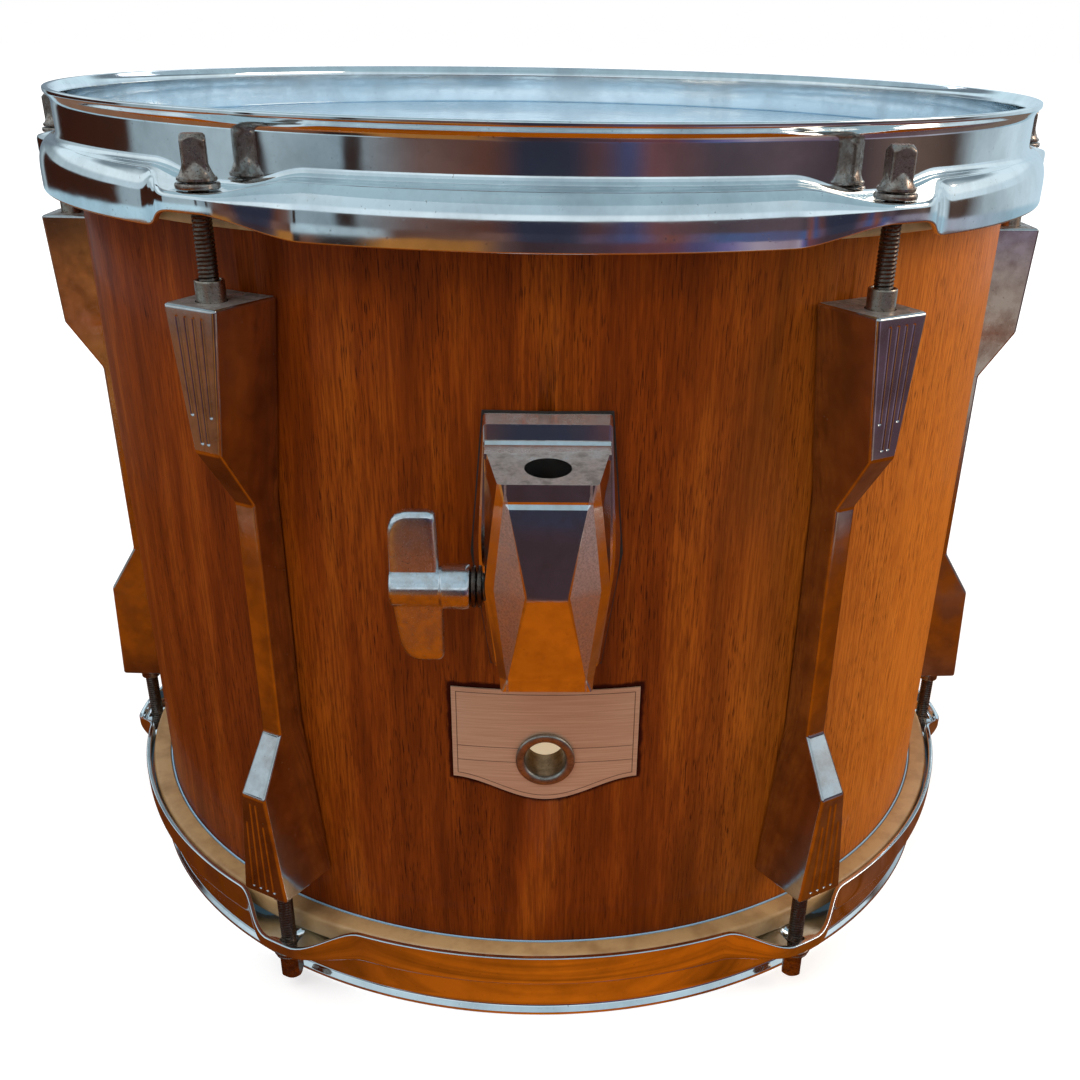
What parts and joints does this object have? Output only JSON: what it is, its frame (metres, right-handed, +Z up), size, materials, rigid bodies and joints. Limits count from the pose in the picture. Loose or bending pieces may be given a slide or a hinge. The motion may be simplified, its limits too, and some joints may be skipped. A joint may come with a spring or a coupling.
{
  "type": "rack tom drum",
  "caption": "Wooden-shelled tom-tom drum with two tensioned heads, flanged metal hoops, full-length lugs and a rod bracket with a wing-nut clamp.",
  "frame": {"origin": "on the floor plane that the resonant hoop's lip stands on, in the middle of the whole part's box; the drum's own axis is 11.55 mm behind it, along +Y", "axes": "+Z up along the drum's axis to the batter head, -Y to the front with the bracket and badge, +X to the right seen from the front"},
  "size_m": [0.374, 0.373, 0.286],
  "materials": {
    "shell_lacquer": "red-brown mahogany veneer under satin lacquer, dark vertical pores",
    "batter_film": "smooth single-ply polyester, pale grey-blue, glossy",
    "resonant_film": "smooth thin polyester, pale, glossy",
    "flesh_hoop": "rolled channel, yellowed",
    "hoop_chrome": "chrome-plated pressed steel, mirror, lightly pitted",
    "lug_plating": "chrome-plated die casting, lightly pitted",
    "bracket_plating": "chrome-plated die casting, faceted",
    "rod_steel": "tarnished plated steel",
    "nut_nickel": "dulled nickel plate",
    "screw_zinc": "zinc-plated steel",
    "gasket": "black fibre sheet",
    "badge_plate": "brushed, anodised, bare of lettering"
  },
  "bodies": {
    "drum": {"shell": "shell_lacquer", "batter_head": "batter_film", "batter_flesh_hoop": "flesh_hoop", "batter_swivel_nut_1": "nut_nickel", "batter_swivel_nut_2": "nut_nickel", "batter_swivel_nut_3": "nut_nickel", "batter_swivel_nut_4": "nut_nickel", "batter_swivel_nut_5": "nut_nickel", "batter_swivel_nut_6": "nut_nickel", "resonant_swivel_nut_1": "nut_nickel", "resonant_swivel_nut_2": "nut_nickel", "resonant_swivel_nut_3": "nut_nickel", "resonant_swivel_nut_4": "nut_nickel", "resonant_swivel_nut_5": "nut_nickel", "resonant_swivel_nut_6": "nut_nickel", "lug_1": "lug_plating", "lug_2": "lug_plating", "lug_3": "lug_plating", "lug_4": "lug_plating", "lug_5": "lug_plating", "lug_6": "lug_plating", "mount_bracket": "bracket_plating", "bracket_gasket": "gasket", "bracket_screw_upper": "screw_zinc", "bracket_screw_lower": "screw_zinc", "clamp_washer": "screw_zinc", "clamp_lock_washer": "screw_zinc", "badge": "badge_plate", "vent_grommet": "nut_nickel", "vent_washer": "screw_zinc"},
    "batter_hoop": {"batter_hoop": "hoop_chrome", "batter_washer_1": "rod_steel", "batter_washer_2": "rod_steel", "batter_washer_3": "rod_steel", "batter_washer_4": "rod_steel", "batter_washer_5": "rod_steel", "batter_washer_6": "rod_steel"},
    "resonant_hoop": {"resonant_hoop": "hoop_chrome", "resonant_head": "resonant_film", "resonant_flesh_hoop": "flesh_hoop", "resonant_washer_1": "rod_steel", "resonant_washer_2": "rod_steel", "resonant_washer_3": "rod_steel", "resonant_washer_4": "rod_steel", "resonant_washer_5": "rod_steel", "resonant_washer_6": "rod_steel"},
    "batter_rod_1": {"batter_tension_rod_1": "rod_steel"},
    "batter_rod_2": {"batter_tension_rod_2": "rod_steel"},
    "batter_rod_3": {"batter_tension_rod_3": "rod_steel"},
    "batter_rod_4": {"batter_tension_rod_4": "rod_steel"},
    "batter_rod_5": {"batter_tension_rod_5": "rod_steel"},
    "batter_rod_6": {"batter_tension_rod_6": "rod_steel"},
    "resonant_rod_1": {"resonant_tension_rod_1": "rod_steel"},
    "resonant_rod_2": {"resonant_tension_rod_2": "rod_steel"},
    "resonant_rod_3": {"resonant_tension_rod_3": "rod_steel"},
    "resonant_rod_4": {"resonant_tension_rod_4": "rod_steel"},
    "resonant_rod_5": {"resonant_tension_rod_5": "rod_steel"},
    "resonant_rod_6": {"resonant_tension_rod_6": "rod_steel"},
    "wing_nut": {"wing_nut": "bracket_plating"},
    "eye_bolt": {"eye_bolt": "screw_zinc"}
  },
  "joints": [
    {"name": "batter_hoop_lift", "type": "slide", "parent": "drum", "child": "batter_hoop", "axis": [0, 0, 1], "range_m": [0, 0.024]},
    {"name": "resonant_hoop_drop", "type": "slide", "parent": "drum", "child": "resonant_hoop", "axis": [0, 0, 1], "range_m": [-0.024, 0]},
    {"name": "batter_rod_1_turn", "type": "hinge", "parent": "batter_hoop", "child": "batter_rod_1", "pos_m": [0.0891, -0.14278, 0.2697], "axis": [0, 0, 1], "range_deg": [0, 8184]},
    {"name": "batter_rod_2_turn", "type": "hinge", "parent": "batter_hoop", "child": "batter_rod_2", "pos_m": [0.1782, 0.01155, 0.2697], "axis": [0, 0, 1], "range_deg": [0, 8184]},
    {"name": "batter_rod_3_turn", "type": "hinge", "parent": "batter_hoop", "child": "batter_rod_3", "pos_m": [0.0891, 0.16588, 0.2697], "axis": [0, 0, 1], "range_deg": [0, 8184]},
    {"name": "batter_rod_4_turn", "type": "hinge", "parent": "batter_hoop", "child": "batter_rod_4", "pos_m": [-0.0891, 0.16588, 0.2697], "axis": [0, 0, 1], "range_deg": [0, 8184]},
    {"name": "batter_rod_5_turn", "type": "hinge", "parent": "batter_hoop", "child": "batter_rod_5", "pos_m": [-0.1782, 0.01155, 0.2697], "axis": [0, 0, 1], "range_deg": [0, 8184]},
    {"name": "batter_rod_6_turn", "type": "hinge", "parent": "batter_hoop", "child": "batter_rod_6", "pos_m": [-0.0891, -0.14278, 0.2697], "axis": [0, 0, 1], "range_deg": [0, 8184]},
    {"name": "resonant_rod_1_turn", "type": "hinge", "parent": "resonant_hoop", "child": "resonant_rod_1", "pos_m": [-0.0891, -0.14278, 0.0163], "axis": [0, 0, 1], "range_deg": [-8184, 0]},
    {"name": "resonant_rod_2_turn", "type": "hinge", "parent": "resonant_hoop", "child": "resonant_rod_2", "pos_m": [-0.1782, 0.01155, 0.0163], "axis": [0, 0, 1], "range_deg": [-8184, 0]},
    {"name": "resonant_rod_3_turn", "type": "hinge", "parent": "resonant_hoop", "child": "resonant_rod_3", "pos_m": [-0.0891, 0.16588, 0.0163], "axis": [0, 0, 1], "range_deg": [-8184, 0]},
    {"name": "resonant_rod_4_turn", "type": "hinge", "parent": "resonant_hoop", "child": "resonant_rod_4", "pos_m": [0.0891, 0.16588, 0.0163], "axis": [0, 0, 1], "range_deg": [-8184, 0]},
    {"name": "resonant_rod_5_turn", "type": "hinge", "parent": "resonant_hoop", "child": "resonant_rod_5", "pos_m": [0.1782, 0.01155, 0.0163], "axis": [0, 0, 1], "range_deg": [-8184, 0]},
    {"name": "resonant_rod_6_turn", "type": "hinge", "parent": "resonant_hoop", "child": "resonant_rod_6", "pos_m": [0.0891, -0.14278, 0.0163], "axis": [0, 0, 1], "range_deg": [-8184, 0]},
    {"name": "wing_nut_turn", "type": "hinge", "parent": "drum", "child": "wing_nut", "pos_m": [0, -0.17245, 0.1709], "axis": [1, 0, 0], "range_deg": [0, 432]},
    {"name": "eye_bolt_draw", "type": "slide", "parent": "drum", "child": "eye_bolt", "axis": [1, 0, 0], "range_m": [-0.0015, 0]}
  ],
  "couplings": [
    {"joint": "batter_rod_1_turn", "follows": "batter_hoop_lift", "rad_per_m": 5936.9},
    {"joint": "batter_rod_2_turn", "follows": "batter_hoop_lift", "rad_per_m": 5936.9},
    {"joint": "batter_rod_3_turn", "follows": "batter_hoop_lift", "rad_per_m": 5936.9},
    {"joint": "batter_rod_4_turn", "follows": "batter_hoop_lift", "rad_per_m": 5936.9},
    {"joint": "batter_rod_5_turn", "follows": "batter_hoop_lift", "rad_per_m": 5936.9},
    {"joint": "batter_rod_6_turn", "follows": "batter_hoop_lift", "rad_per_m": 5936.9},
    {"joint": "resonant_rod_1_turn", "follows": "resonant_hoop_drop", "rad_per_m": 5936.9},
    {"joint": "resonant_rod_2_turn", "follows": "resonant_hoop_drop", "rad_per_m": 5936.9},
    {"joint": "resonant_rod_3_turn", "follows": "resonant_hoop_drop", "rad_per_m": 5936.9},
    {"joint": "resonant_rod_4_turn", "follows": "resonant_hoop_drop", "rad_per_m": 5936.9},
    {"joint": "resonant_rod_5_turn", "follows": "resonant_hoop_drop", "rad_per_m": 5936.9},
    {"joint": "resonant_rod_6_turn", "follows": "resonant_hoop_drop", "rad_per_m": 5936.9},
    {"joint": "eye_bolt_draw", "follows": "wing_nut_turn", "m_per_rad": -0.00019894}
  ]
}
